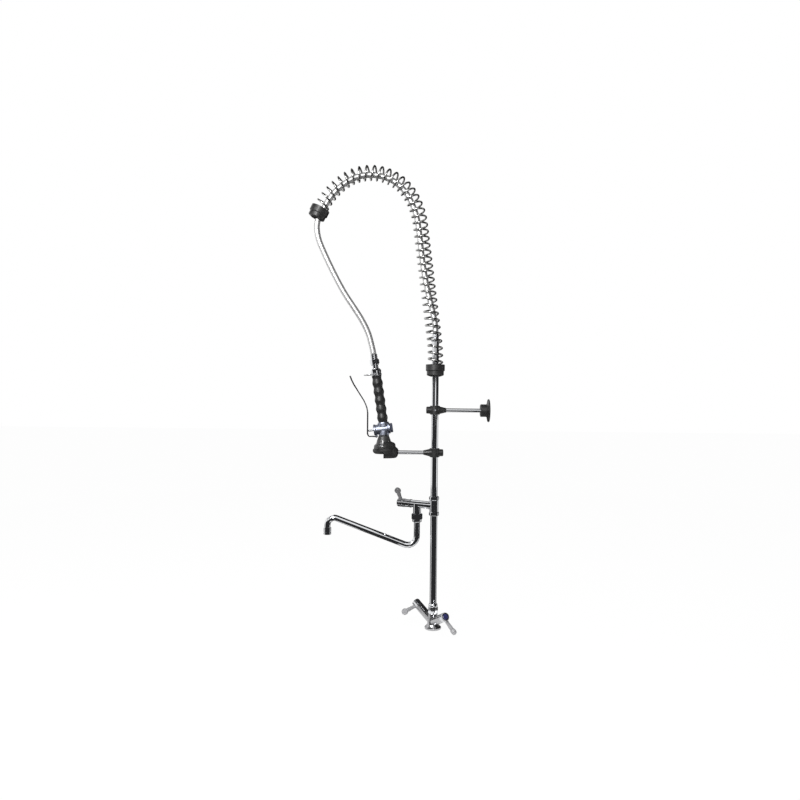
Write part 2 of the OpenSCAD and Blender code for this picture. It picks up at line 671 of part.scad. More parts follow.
// the spring's middle line, from the lower cap over the arch to the end cap
spring_legs = [
    [upright_len, 0], [50, spring_lean], [lean_len, 0],
    [arc_len(shoulder_r, crown_from - spring_lean), crown_from - spring_lean],
    [arc_len(crown_r, crown_to - crown_from), crown_to - crown_from],
    [arc_len(shoulder_r, end_heading - crown_to), end_heading - crown_to],
    [tail_len, 0]];
spring_foot_z = spring_seat + wire_r - seat_bite;
function total(list, i = 0) = i == len(list) ? 0 : list[i][0] + total(list, i + 1);
spring_len = total(spring_legs);
spring_start = [0, spring_foot_z, 0];
spring_end = route(spring_legs, spring_len, spring_start);

// one ring of a left-handed coil's wire, s along its middle line
function coil_ring(s, at, radius, pitch, wire, sides) = let (
    h = at[2], turn = 360 * s / pitch, ahead = [-sin(h), 0, cos(h)], side = [cos(h), 0, sin(h)],
    out = cos(turn) * side - sin(turn) * [0, 1, 0],
    run = unit(-2 * PI * radius / pitch * (sin(turn) * side + cos(turn) * [0, 1, 0]) + ahead),
    up = cross(run, out), mid = [at[0], 0, at[1]] + radius * out)
    [for (j = [0:sides - 1]) mid + wire * (cos(360 * j / sides) * out + sin(360 * j / sides) * up)];

module hose_spring() color("silver") {
    steps = floor(spring_len / coil_pitch * coil_steps);
    swept([for (i = [0:steps]) let (s = spring_len * i / steps)
        coil_ring(s, route(spring_legs, s, spring_start), coil_r, coil_pitch, wire_r, 6)]);
}

// a rubber cap whose cup floor lies at z = 0, its mouth towards +Z
module spring_cap(hole_r) difference() {
    turned([[0, -cap_floor], [11.8, -cap_floor], [cap_body_r - 1.2, -cap_floor + 3.2],
        [cap_body_r, -cap_floor + 4.6], [cap_body_r, -3.4], [cap_rim_r - 0.6, -2.4],
        [cap_rim_r, -1.6], [cap_rim_r, cap_cup - 0.8], [cap_rim_r - 0.8, cap_cup], [0, cap_cup]]);
    cylinder(r = cup_r, h = cap_cup + cut);
    translate([0, 0, -cap_floor - cut]) cylinder(r = hole_r, h = cap_floor + 2 * cut);
}

module lower_cap() color("#2b2b2b") translate([0, 0, spring_seat]) spring_cap(riser_r + fit);
module end_cap() color("#2b2b2b")
    translate([spring_end[0], 0, spring_end[1]]) rotate([0, 180 - spring_end[2], 0])
        translate([0, 0, seat_bite - wire_r]) spring_cap(hose_r + 7);

// ---------------------------------------------------------------- hose

module hose_adapter() color("silver") translate([0, 0, riser_top]) difference() {
    union() {
        hex_nut(19, 8);
        translate([0, 0, 7]) cylinder(r = 8, h = 5);
    }
    translate([0, 0, -cut]) cylinder(r = bore_r - 1.5, h = 13 + cut);
}

// a crimped ferrule, its hose end at the top
module crimp(r, len) turned([[0, 0], [r - 0.5, 0], [r, 0.6], [r, 3], [r - 0.7, 3.6], [r - 0.7, 4.8],
    [r, 5.4], [r, 7.4], [r - 0.7, 8], [r - 0.7, 9.2], [r, 9.8], [r, len - 0.6], [r - 0.5, len],
    [0, len]]);

module crimp_top() color("silver") translate([0, 0, crimp_top_z]) crimp(hose_r + 1.1, crimp_len);
module crimp_bottom() color("silver") spray_frame() translate([0, 0, crimp_foot])
    crimp(hose_r + 1.7, crimp_len);

module hose() color("gainsboro") {
    points = concat([hose_ends[0]], hose_route, [hose_ends[1]]);
    last = len(points) - 1;
    swept([for (i = [0:last]) flat_ring(points[i],
        i == 0 ? [0, 1] : i == last ? [sin(spray_lean), -cos(spray_lean)]
        : unit(points[i + 1] - points[i - 1]), hose_r, hose_sides)]);
}

// ---------------------------------------------------------------- handle

module hose_nut() color("silver") spray_frame() translate([0, 0, nut_foot]) difference() {
    union() {
        turned([[0, 0], [9.2, 0], [10, 1], [10, 4], [0, 4]]);
        translate([0, 0, 3]) hex_nut(21, nut_len - 3);
    }
    translate([0, 0, -cut]) cylinder(r = core_bore_r + fit, h = 9 + cut);
}

ring_pivot_z = grip_top + 3.2;
ring_eye_r = ring_wire_r + fit;

module handle_core() color("silver") spray_frame() difference() {
    union() {
        translate([0, 0, 9.2]) cylinder(r = core_r, h = grip_top - 8);
        translate([0, 0, grip_top + gap]) turned([[0, 0], [collar_r - 0.6, 0], [collar_r, 0.6],
            [collar_r, 5.4], [collar_r - 0.9, 6.2], [collar_r - 0.9, 7.6], [collar_r, 8.4],
            [collar_r, 13], [collar_r - 2.6, collar_len - 1], [core_r, collar_len],
            [core_r, handle_neck - grip_top - gap], [core_bore_r, handle_neck - grip_top - gap],
            [core_bore_r, handle_neck - grip_top + 8], [0, handle_neck - grip_top + 8]]);
    }
    translate([0, 0, 9]) cylinder(r = core_bore_r - 1.5, h = handle_neck + 2);
    translate([0, 0, ring_pivot_z]) rotate([90, 0, 0]) difference() {
        cylinder(r = ring_eye_r, h = 2 * collar_r + 2, center = true, $fn = small_fn);
        cylinder(r = 2 * ring_eye_r, h = 2 * (collar_r - 3.2), center = true, $fn = small_fn);
    }
}

wave_steps = 6;              // outline points in one finger wave
module grip() color("#262626") spray_frame() difference() {
    turned(concat([[0, grip_foot]],
        [for (z = [grip_foot : grip_pitch / wave_steps : grip_top])
            [grip_r + grip_wave * cos(360 * (z - grip_foot - 12) / grip_pitch), z]],
        [[grip_r - 0.4, grip_top], [0, grip_top]]));
    translate([0, 0, grip_foot - cut]) cylinder(r = core_r + fit, h = grip_top - grip_foot + 2 * cut);
}

// a wire bail: two side arms with inward pins, joined by a half-round front
ring_half_w = collar_r + ring_wire_r + 0.5;
module hold_ring() color("silver") spray_frame() translate([0, 0, ring_pivot_z])
    rotate([0, spray_lean - 4, 0]) {
        for (side = [-1, 1]) {
            translate([0, side * (collar_r - 2.8), 0]) rotate([-90 * side, 0, 0])
                cylinder(r = ring_wire_r, h = ring_half_w - collar_r + 2.8, $fn = small_fn);
            translate([0, side * ring_half_w, 0]) sphere(r = ring_wire_r, $fn = small_fn);
            translate([0, side * ring_half_w, 0]) rotate([0, -90, 0])
                cylinder(r = ring_wire_r, h = ring_reach - ring_half_w, $fn = small_fn);
        }
        translate([ring_half_w - ring_reach, 0, 0]) rotate([0, 0, 90])
            rotate_extrude(angle = 180) translate([ring_half_w, 0])
                circle(r = ring_wire_r, $fn = small_fn);
    }

// ---------------------------------------------------------------- spray valve

lug_w = 7;                   // width of the lug that carries the trigger's pin
module valve_body() color("#b9bcc4") difference() {
    union() {
        barrel_frame() rotate([0, 0, 90]) turned([[0, -barrel_front],
            [barrel_r - 0.4, -barrel_front],
            [barrel_r + 0.8, -barrel_front + 1.2], [barrel_r + 0.8, -barrel_front + 4],
            [barrel_r - 0.6, -barrel_front + 6], [barrel_r - 0.6, barrel_back - 6],
            [barrel_r + 0.8, barrel_back - 4], [barrel_r + 0.8, barrel_back - 0.8],
            [barrel_r, barrel_back], [0, barrel_back]]);
        spray_frame() turned([[0, 6], [15.2, 6], [15.2, 13.6], [14.4, 15], [13.8, 17], [0, 17]]);
        bell_frame() turned([[0, bell_top], [bell_neck_r + 0.6, bell_top],
            [bell_neck_r + 1.2, bell_top + 1], [bell_neck_r + 1.2, spray_z - 4], [0, spray_z - 4]]);
        translate([pivot_x, 0, pivot_z]) rotate([90, 0, 0])
            cylinder(r = pin_r + 1.9, h = lug_w, center = true, $fn = small_fn);
        spray_frame() translate([-24, -lug_w / 2, -16.8]) cube([6, lug_w, 8]);
    }
    barrel_frame() translate([0, 0, chamber_end])
        cylinder(r = chamber_r, h = barrel_back - chamber_end + cut);
    barrel_frame() translate([0, 0, -barrel_front - cut])
        cylinder(r = stem_r + fit, h = barrel_front, $fn = small_fn);
    barrel_frame() translate([0, 0, chamber_end - 6]) cylinder(r = stem_r + 2.6, h = 7);
    spray_frame() translate([0, 0, 9]) cylinder(r = core_r + fit, h = 9);
    spray_frame() cylinder(r = core_bore_r - 1.5, h = 10);
    spray_frame() translate([-17, 0, 0]) rotate([0, 127, 0]) cylinder(r = 2.4, h = 15);
    bell_frame() translate([0, 0, bell_top - cut]) cylinder(r = 9 + fit, h = 7 + cut);
    translate([pivot_x, 0, pivot_z]) rotate([90, 0, 0])
        cylinder(r = pin_r + fit / 2, h = lug_w + 4, center = true, $fn = small_fn);
}

module valve_cap() color("#20242e") barrel_frame() {
    translate([0, 0, barrel_back]) hex_nut(21, 7);
    translate([0, 0, plug_face]) cylinder(r = chamber_r - fit, h = barrel_back - plug_face + 1);
}

stem_tip_z = stem_tip_u + stem_r;   // middle of the plunger's round tip
module plunger() color("gray") barrel_frame() {
    translate([0, 0, stem_tip_z]) sphere(r = stem_r, $fn = small_fn);
    translate([0, 0, stem_tip_z]) cylinder(r = stem_r, h = plug_face - 5 - stem_tip_z,
        $fn = small_fn);
    translate([0, 0, piston_back - 3]) cylinder(r = piston_r, h = 3);
}

module plunger_seal() color("#2b2b2b") barrel_frame() difference() {
    translate([0, 0, chamber_end + gap]) cylinder(r = piston_r, h = seal_t);
    translate([0, 0, chamber_end]) cylinder(r = stem_r + fit, h = 2 * seal_t, $fn = small_fn);
}

return_len = plug_face - piston_back;
return_wire = 0.5;
module return_spring() color("silver") barrel_frame() translate([0, 0, piston_back + return_wire])
    rotate([0, 0, 90]) {
        free = return_len - 2 * return_wire;
        steps = 50;
        swept([for (i = [0:steps]) coil_ring(free * i / steps, [0, free * i / steps, 0],
            stem_r + 1.6, free / 5, return_wire, 5)]);
    }

// ---------------------------------------------------------------- trigger

module trigger_pin() color("gray") translate([pivot_x, 0, pivot_z]) rotate([90, 0, 0])
    cylinder(r = pin_r, h = trigger_w, center = true, $fn = small_fn);

// the strip's middle line, from the foot at the pivot up past the plunger and out to the tip
trigger_line = [[-7.2, 0.4], [-17, -0.4], [-20, 0.6], [-22.4, 3.6], [-23.4, 8], [-23.4, 58],
    [-23.8, 66], [-25.4, 74], [-28.6, 83], [-33.4, 93], [-60, 134], [-66, 145.5], [-70, 156]];
function across(a, b) = unit([b[1] - a[1], a[0] - b[0]]);
function strip_edge(line, t) = [for (i = [0:len(line) - 1])
    let (a = line[max(i - 1, 0)], b = line[min(i + 1, len(line) - 1)]) line[i] + t * across(a, b)];

module trigger() color("silver") translate([pivot_x, 0, pivot_z]) rotate([90, 0, 0]) difference() {
    union() {
        linear_extrude(trigger_w, center = true) polygon(concat(
            strip_edge(trigger_line, trigger_t / 2),
            [for (i = [len(trigger_line) - 1:-1:0]) strip_edge(trigger_line, -trigger_t / 2)[i]]));
        for (side = [-1, 1]) translate([0, 0, side * (trigger_w / 2 - 1.4)]) {
            cylinder(r = ear_r, h = 2.8, center = true, $fn = small_fn);
            translate([-4.6, -0.6, 0]) cube([9.2, trigger_t - 0.2, 2.8], center = true);
        }
    }
    cylinder(r = pin_r + fit, h = trigger_w + 4, center = true, $fn = small_fn);
}

// ---------------------------------------------------------------- spray head

shell_t = 2.4;
module spray_bell() color("#262626") bell_frame() difference() {
    turned([[0, bell_foot], [bell_r - 2.6, bell_foot], [bell_r - 1.4, bell_foot + 1],
        [bell_r - 1.4, bumper_top], [bell_r, bumper_top + 0.6], [bell_r, step_z - 3],
        [bell_r - 0.9, step_z], [bell_r - 5.4, step_z + 3.6], [bell_r - 6.4, step_z + 6.7],
        [bell_r - 8.2, bell_top - 12.4], [bell_r - 11.4, bell_top - 4],
        [bell_neck_r, bell_top], [9, bell_top], [9, bell_top + 6],
        [0, bell_top + 6]]);
    translate([0, 0, bell_foot - cut]) cylinder(r = face_r, h = face_z - bell_foot + 2 + cut);
    translate([0, 0, face_z]) turned([[0, 0], [face_r - shell_t, 0], [face_r - shell_t, 14],
        [face_r - 7, 26], [5, 38], [0, 38]]);
    translate([0, 0, face_z]) cylinder(r = 5, h = 60);
}

module bumper_ring() color("#1c1c1c") bell_frame() difference() {
    turned([[0, bell_foot + 1.4], [bell_r, bell_foot + 1.4], [bumper_r, bell_foot + 6],
        [bumper_r, bell_foot + 10], [bumper_r - 1.2, bumper_top], [0, bumper_top]]);
    translate([0, 0, bell_foot]) cylinder(r = bell_r - 1.4 + fit, h = 20);
}

module spray_face() color("gray") bell_frame() translate([0, 0, face_z]) difference() {
    cylinder(r = face_r - fit, h = 2);
    for (ring = [[spray_holes, face_r - 4], [12, face_r - 9.5]], i = [0:ring[0] - 1])
        rotate([0, 0, i * 360 / ring[0]]) translate([ring[1], 0, -cut])
            cylinder(r = spray_hole_r, h = 4, $fn = 16);
    translate([0, 0, -cut]) cylinder(r = 2.1, h = 4, $fn = small_fn);
}

module face_screw() color("silver") bell_frame() translate([0, 0, face_z]) difference() {
    union() {
        translate([0, 0, -2.2]) turned([[0, 0], [3.4, 0], [4.4, 1], [4.4, 2.2], [0, 2.2]]);
        cylinder(r = 2, h = 6, $fn = small_fn);
    }
    translate([0, 0, -3]) hexagon(3, 2.2);
}

// the cradle wraps the riser side of the bell and is open towards the user
cradle_clear = 0.5;
module hook_cradle() color("#2b2b2b") difference() {
    bell_frame() rotate([0, 0, -90]) rotate_extrude(angle = 180) polygon([
        [bell_r - 5.7, step_z + 9.4], [cradle_out_r - 11, step_z + 6.5], [cradle_out_r - 8, step_z + 3],
        [cradle_out_r - 7.2, step_z - 4], [cradle_out_r - 2, step_z - 8],
        [cradle_out_r, step_z - 12], [cradle_out_r, bell_foot + 2], [cradle_out_r - 1.2, bell_foot - 4],
        [cradle_out_r - 3.6, bell_foot - 8], [cradle_out_r - 6, cradle_low], [face_r, cradle_low],
        [face_r, bell_foot - gap], [bumper_r + cradle_clear, bell_foot - gap],
        [bumper_r + cradle_clear, bumper_top + cradle_clear],
        [bell_r + cradle_clear, bumper_top + 1.2], [bell_r + cradle_clear, step_z - 2.6],
        [bell_r - 0.9 + cradle_clear, step_z + 0.5], [bell_r - 5.4 + cradle_clear, step_z + 4.2],
        [bell_r - 6.4 + cradle_clear, step_z + 7]]);
    translate([0, 0, hook_z]) rotate([0, -90, 0]) translate([0, 0, hook_rod_end - rod_bite])
        cylinder(r = rod_r + fit, h = rod_bite + gap);
}

base_seal();
mixer_body();
hot_headwork();
cold_headwork();
hot_spindle();
cold_spindle();
hot_lever();
cold_lever();
hot_lever_screw();
cold_lever_screw();
hot_index();
cold_index();
riser_nut();
riser_lower();
tee_body();
tap_headwork();
tap_bonnet();
tap_spindle();
tap_lever();
tap_lever_screw();
tap_index();
spout_nut();
spout_tube();
spout_seals();
aerator_shell();
aerator_core();
riser_upper();
hook_clamp();
hook_screw();
hook_rod();
hook_cradle();
bracket_clamp();
bracket_screw();
bracket_rod();
wall_hub();
wall_flange();
lower_cap();
end_cap();
hose_spring();
hose_adapter();
crimp_top();
hose();
crimp_bottom();
hose_nut();
handle_core();
grip();
hold_ring();
valve_body();
valve_cap();
trigger();
trigger_pin();
plunger();
plunger_seal();
return_spring();
spray_bell();
bumper_ring();
spray_face();
face_screw();
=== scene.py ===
import math

import bmesh
import bpy
from mathutils import Matrix, Vector


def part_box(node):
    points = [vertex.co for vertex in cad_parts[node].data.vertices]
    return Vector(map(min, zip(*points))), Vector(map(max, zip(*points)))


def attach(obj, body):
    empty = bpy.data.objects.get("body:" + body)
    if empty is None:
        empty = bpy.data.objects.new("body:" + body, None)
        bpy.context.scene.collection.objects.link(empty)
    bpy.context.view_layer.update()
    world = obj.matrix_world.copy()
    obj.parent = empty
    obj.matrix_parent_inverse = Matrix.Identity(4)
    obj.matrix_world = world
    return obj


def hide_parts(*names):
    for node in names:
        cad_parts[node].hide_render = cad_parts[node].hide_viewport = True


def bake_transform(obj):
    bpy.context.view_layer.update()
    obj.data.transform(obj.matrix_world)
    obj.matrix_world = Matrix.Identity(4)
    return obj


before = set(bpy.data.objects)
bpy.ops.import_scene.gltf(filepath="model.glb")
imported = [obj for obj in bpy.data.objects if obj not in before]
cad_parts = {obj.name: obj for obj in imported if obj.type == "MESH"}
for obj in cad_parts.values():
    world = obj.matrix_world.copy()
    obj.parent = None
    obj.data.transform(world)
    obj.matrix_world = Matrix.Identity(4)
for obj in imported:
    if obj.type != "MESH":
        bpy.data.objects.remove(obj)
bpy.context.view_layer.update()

bl_info = {
    "name": "Pre-rinse faucet",
    "version": (1, 0, 0),
    "blender": (4, 5, 0),
    "location": "View3D > Sidebar > Faucet",
    "description": "Dresses a pre-rinse faucet in chrome, rubber and braided hose",
    "category": "Object",
}


# The dark tent. A wall is (azimuth from, to, elevation from, to) in degrees from the tent's middle,
# and a mat on the floor is (azimuth from, to, radius from, to). Azimuth 0 is the camera's side, and
# 90 is the wall bracket's.
TENT_MIDDLE = Vector((0, 0, 0.6))
TENT_RADIUS = 3.0
TENT_WALLS = (
    (282, 432, -12, -1.5), (120, 215, -12, -1.5), (282, 356, -1.5, 2.3), (30, 180, -1.5, 4),
    (250, 390, 2.3, 5.6), (330, 356, 5.6, 12), (25, 195, 4, 60), (250, 330, 22, 60),
    (0, 360, 60, 90))
TENT_MATS = ((276, 456, 0.16, 2.93), (118, 256, 0.16, 2.93))
MAT_HEIGHT = 0.002
FLOOR_REACH = 12.0
FLOOR_GLOW = 0.96   # share of the floor that shows plain white; the rest keeps the shadow
LAMP_AIM = Vector((-0.1, 0, 0.6))
PATCH_ROWS = 6
DEGREES_A_COLUMN = 4

# The hand spray's valve stands here and leans this much; the hose ends this far up its line.
VALVE = (-0.132, 0, 0.518)
SPRAY_LEAN = math.radians(8.5)
HOSE_FOOT = 0.19482
HOSE_STEPS = 8   # steps of the path between two points of the hose's middle line

LEVER_HUB = 0.0125   # reach of a lever's polished hub from its screw


# ---------------------------------------------------------------- settings


class FaucetFinishes(bpy.types.PropertyGroup):
    """Colours and polish of the faucet's materials."""

    chrome: bpy.props.FloatVectorProperty(
        name="Chrome", description="Colour of the polished plating",
        subtype="COLOR", size=3, min=0, max=1, default=(0.83, 0.84, 0.86))
    chrome_roughness: bpy.props.FloatProperty(
        name="Chrome roughness", description="0 is a perfect mirror",
        min=0, max=1, default=0.07)
    satin: bpy.props.FloatVectorProperty(
        name="Levers", description="Colour of the satin plating on the levers",
        subtype="COLOR", size=3, min=0, max=1, default=(0.37, 0.37, 0.38))
    plastic: bpy.props.FloatVectorProperty(
        name="Plastic", description="Colour of the moulded clamps, caps and spray head",
        subtype="COLOR", size=3, min=0, max=1, default=(0.017, 0.017, 0.017))
    rubber: bpy.props.FloatVectorProperty(
        name="Rubber", description="Colour of the grip and the bumper",
        subtype="COLOR", size=3, min=0, max=1, default=(0.014, 0.014, 0.014))
    braid: bpy.props.FloatVectorProperty(
        name="Hose braid", description="Colour of the hose's steel braid",
        subtype="COLOR", size=3, min=0, max=1, default=(0.66, 0.66, 0.66))
    cold: bpy.props.FloatVectorProperty(
        name="Cold disc", description="Colour of the cold index disc",
        subtype="COLOR", size=3, min=0, max=1, default=(0.022, 0.024, 0.085))
    hot: bpy.props.FloatVectorProperty(
        name="Hot disc", description="Colour of the hot index disc",
        subtype="COLOR", size=3, min=0, max=1, default=(0.4, 0.02, 0.03))


class FaucetSpring(bpy.types.PropertyGroup):
    """Wire and route of the hose spring."""

    coil_radius: bpy.props.FloatProperty(
        name="Coil radius", description="To the middle of the wire",
        min=0.01, max=0.03, default=0.018, unit="LENGTH")
    wire_radius: bpy.props.FloatProperty(
        name="Wire radius", description="Half the thickness of the spring wire",
        min=0.001, max=0.004, default=0.0025, unit="LENGTH")
    pitch: bpy.props.FloatProperty(
        name="Pitch", description="Rise of one turn", min=0.01, max=0.04, default=0.0179,
        unit="LENGTH")
    wire_sides: bpy.props.IntProperty(
        name="Wire sides", description="Corners in the wire's section", min=6, max=24, default=10)
    turn_steps: bpy.props.IntProperty(
        name="Steps in a turn", description="Rings of the wire in one turn", min=12, max=48,
        default=24)


class FaucetHose(bpy.types.PropertyGroup):
    """Size of the hose and its braid."""

    radius: bpy.props.FloatProperty(
        name="Radius", description="Outside radius of the hose", min=0.004, max=0.01,
        default=0.0075, unit="LENGTH")
    sides: bpy.props.IntProperty(
        name="Sides", description="Corners in the hose's section", min=12, max=48, default=24)
    strand_width: bpy.props.FloatProperty(
        name="Strand width", description="Width of one braid strand", min=0.0005, max=0.004,
        default=0.0008, unit="LENGTH")


class FaucetStage(bpy.types.PropertyGroup):
    """Camera, lamps and floor."""

    camera_place: bpy.props.FloatVectorProperty(
        name="Camera", description="Where the camera stands", subtype="TRANSLATION", size=3,
        default=(-0.091, -1.82, 0.593), unit="LENGTH")
    camera_roll: bpy.props.FloatProperty(
        name="Roll", description="Turn of the camera about its view", subtype="ANGLE",
        default=math.radians(0.55))
    lens: bpy.props.FloatProperty(
        name="Lens", description="Focal length in millimetres", min=10, max=200, default=31.5)
    fill_light: bpy.props.FloatProperty(
        name="Fill", description="Strength of the soft light from all round", min=0, max=4,
        default=0.6)
    tent_shade: bpy.props.FloatProperty(
        name="Tent", description="Brightness of the dark tent that the plating mirrors",
        min=0, max=1, default=0.026)
    key_power: bpy.props.FloatProperty(
        name="Key lamp", description="Power of the large lamp in watts", min=0, max=500,
        default=32)


SETTINGS = (FaucetFinishes, FaucetSpring, FaucetHose, FaucetStage)


# ---------------------------------------------------------------- shader groups


def combine(tree, operation, a, b):
    """A maths node on two values, each of them a number or a socket."""
    made = tree.nodes.new("ShaderNodeMath")
    made.operation = operation
    for socket, value in zip(made.inputs, (a, b)):
        if isinstance(value, (int, float)):
            socket.default_value = value
        else:
            tree.links.new(value, socket)
    return made.outputs[0]


def noise(group, scale, detail):
    """Noise over the piece, from 0 to 1."""
    place = group.nodes.new("ShaderNodeTexCoord")
    made = group.nodes.new("ShaderNodeTexNoise")
    made.inputs["Scale"].default_value = scale
    made.inputs["Detail"].default_value = detail
    group.links.new(place.outputs["Object"], made.inputs["Vector"])
    return made.outputs["Fac"]


def spread(group, source, low, high):
    """Maps the middle of a noise onto the range low to high."""
    made = group.nodes.new("ShaderNodeMapRange")
    made.inputs["From Min"].default_value = 0.3
    made.inputs["From Max"].default_value = 0.7
    for socket, value in (("To Min", low), ("To Max", high)):
        if isinstance(value, (int, float)):
            made.inputs[socket].default_value = value
        else:
            group.links.new(value, made.inputs[socket])
    group.links.new(source, made.inputs["Value"])
    return made.outputs["Result"]


def shade(group, colour, amount):
    """Scales a colour by a number that varies over the surface."""
    made = group.nodes.new("ShaderNodeVectorMath")
    made.operation = "SCALE"
    group.links.new(colour, made.inputs[0])
    group.links.new(amount, made.inputs["Scale"])
    return made.outputs["Vector"]


def surface_effect(name, relief, broad_scale, fine_scale, dulling, shading):
    """A group that varies a finish: broad marks in colour and roughness, fine ones in height."""
    group = bpy.data.node_groups.new(name, "ShaderNodeTree")
    for label, kind, value in (("Color", "NodeSocketColor", (0.5, 0.5, 0.5, 1)),
                               ("Roughness", "NodeSocketFloat", 0.3),
                               (relief, "NodeSocketFloat", 1.0)):
        socket = group.interface.new_socket(label, in_out="INPUT", socket_type=kind)
        socket.default_value = value
    for label, kind in (("Color", "NodeSocketColor"), ("Roughness", "NodeSocketFloat"),
                        ("Height", "NodeSocketFloat")):
        group.interface.new_socket(label, in_out="OUTPUT", socket_type=kind)
    entry = group.nodes.new("NodeGroupInput").outputs
    leave = group.nodes.new("NodeGroupOutput").inputs
    broad = noise(group, broad_scale, 3.0)
    fine = noise(group, fine_scale, 2.0)
    smooth, dull = (combine(group, "MULTIPLY", entry["Roughness"], share) for share in dulling)
    group.links.new(shade(group, entry["Color"], spread(group, broad, *shading)), leave["Color"])
    group.links.new(spread(group, broad, smooth, dull), leave["Roughness"])
    group.links.new(combine(group, "MULTIPLY", fine, entry[relief]), leave["Height"])


def wiped_plating():
    """Faint wipe marks and water film on polished metal."""
    surface_effect("Wiped plating", "Film", 34.0, 420.0, (0.75, 1.45), (0.93, 1.0))


def moulded_grain():
    """Fine spark-eroded grain of moulded plastic and rubber, with worn patches."""
    surface_effect("Moulded grain", "Grain", 60.0, 1900.0, (0.82, 1.15), (0.8, 1.15))


# ---------------------------------------------------------------- materials


def new_material(name):
    """An empty material, with its node tree and its shader."""
    material = bpy.data.materials.new(name)
    material.use_nodes = True
    tree = material.node_tree
    return material, tree, tree.nodes["Principled BSDF"]


def bumped(tree, shader, height, strength, depth):
    """Gives a shader the relief of a height, which stands up to depth metres."""
    bump = tree.nodes.new("ShaderNodeBump")
    bump.inputs["Strength"].default_value = strength
    bump.inputs["Distance"].default_value = depth
    tree.links.new(height, bump.inputs["Height"])
    tree.links.new(bump.outputs["Normal"], shader.inputs["Normal"])


def finish(name, effect, colour, roughness, depth, metallic=0.0):
    """A material whose colour, roughness and bump come from a shared effect."""
    material, tree, shader = new_material(name)
    shader.inputs["Metallic"].default_value = metallic
    look = tree.nodes.new("ShaderNodeGroup")
    look.node_tree = bpy.data.node_groups[effect]
    look.inputs["Color"].default_value = (*colour, 1)
    look.inputs["Roughness"].default_value = roughness
    tree.links.new(look.outputs["Color"], shader.inputs["Base Color"])
    tree.links.new(look.outputs["Roughness"], shader.inputs["Roughness"])
    bumped(tree, shader, look.outputs["Height"], 0.25, depth)


def braid_material(colour, strand):
    """Steel strands crossing over each other round the hose, with painted shade in the dips between
    them, laid out on its UV map in metres.
    """
    material, tree, shader = new_material("Steel braid")
    shader.inputs["Metallic"].default_value = 0.85
    place = tree.nodes.new("ShaderNodeUVMap")
    place.uv_map = "Along"
    waves = []
    for lean in (45, -45):
        turn = tree.nodes.new("ShaderNodeMapping")
        turn.inputs["Rotation"].default_value = (0, 0, math.radians(lean))
        turn.inputs["Scale"].default_value = (1 / strand, 1 / strand, 1)
        wave = tree.nodes.new("ShaderNodeTexWave")
        wave.inputs["Scale"].default_value = 0.31   # one wave of this texture in one strand
        tree.links.new(place.outputs["UV"], turn.inputs["Vector"])
        tree.links.new(turn.outputs["Vector"], wave.inputs["Vector"])
        waves.append(wave.outputs["Fac"])
    cross = combine(tree, "MAXIMUM", *waves)
    # Painted shade: the strands' colour drops to 92 % where they dip between each other, following the
    # same height as the bump.
    painted_groove_shade = tree.nodes.new("ShaderNodeValToRGB")
    painted_groove_shade.color_ramp.elements[0].color = (*[c * 0.92 for c in colour], 1)
    painted_groove_shade.color_ramp.elements[1].color = (*colour, 1)
    gloss = tree.nodes.new("ShaderNodeMapRange")
    gloss.inputs["To Min"].default_value = 0.46
    gloss.inputs["To Max"].default_value = 0.38
    tree.links.new(cross, painted_groove_shade.inputs["Fac"])
    tree.links.new(cross, gloss.inputs["Value"])
    tree.links.new(painted_groove_shade.outputs["Color"], shader.inputs["Base Color"])
    tree.links.new(gloss.outputs["Result"], shader.inputs["Roughness"])
    bumped(tree, shader, cross, 0.15, 0.0001)


def dress(names, material, angle=32.0):
    """Gives CAD nodes a material and smooth shading up to an edge angle in degrees."""
    for name in names.split():
        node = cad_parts[name]
        node.data.materials.clear()
        node.data.materials.append(bpy.data.materials[material])
        node.data.shade_smooth()
        node.data.set_sharp_from_angle(angle=math.radians(angle))


def dress_part(name, material, chosen):
    """Gives another material to the faces of a CAD node whose middles are chosen."""
    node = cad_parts[name]
    node.data.materials.append(bpy.data.materials[material])
    slot = len(node.data.materials) - 1
    for face in node.data.polygons:
        if chosen(node.matrix_world @ face.center):
            face.material_index = slot


def middle(name):
    low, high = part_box(name)
    return (Vector(low) + Vector(high)) / 2


# ---------------------------------------------------------------- routes


def walk(at, length, turn):
    """The place [x, z, heading] after a leg of a route; headings run from up towards -X."""
    x, z, heading = at
    if turn == 0:
        return (x - length * math.sin(heading), z + length * math.cos(heading), heading)
    radius = length / turn
    return (x - radius * (math.cos(heading) - math.cos(heading + turn)),
            z + radius * (math.sin(heading + turn) - math.sin(heading)), heading + turn)


def bend(radius, degrees):
    return (radius * math.radians(degrees), math.radians(degrees))


# The spring's middle line: its foot as (x, z, heading), then its legs as (length, turn).
SPRING_START = (0.0, 0.6739, 0.0)
SPRING_LEGS = ((0.028, 0.0), (0.050, math.radians(7.5)), (0.301, 0.0), bend(0.190, 24.5),
               bend(0.120, 93), bend(0.190, 29), (0.010, 0.0))

# The hose's middle line as (x, z) in millimetres, up through the spring and down to the spray.
HOSE_POINTS = (
    (0, 770), (-3, 798), (-12, 838), (-22, 878), (-30, 918), (-36.5, 958), (-41.5, 998),
    (-46, 1034), (-52.5, 1070), (-65, 1104.5), (-83, 1135), (-110, 1160), (-142, 1173.5),
    (-175.5, 1177.5), (-209, 1171.5), (-240, 1154.5), (-265, 1132.5), (-284, 1107),
    (-292.5, 1091.5), (-301.3, 1075.5), (-308.3, 1060.5), (-311.3, 1044), (-310, 1025), (-304.5, 1003),
    (-291, 971.5), (-275, 938), (-257, 903), (-237, 868), (-215, 835), (-194, 803), (-177, 770),
    (-167, 738))


def along_spring(distance):
    at = SPRING_START
    for length, turn in SPRING_LEGS[:-1]:
        if distance <= length:
            return walk(at, distance, turn * distance / length)
        at = walk(at, length, turn)
        distance -= length
    return walk(at, distance, 0.0)


def add_object(name, data):
    made = bpy.data.objects.new(name, data)
    bpy.context.scene.collection.objects.link(made)
    return made


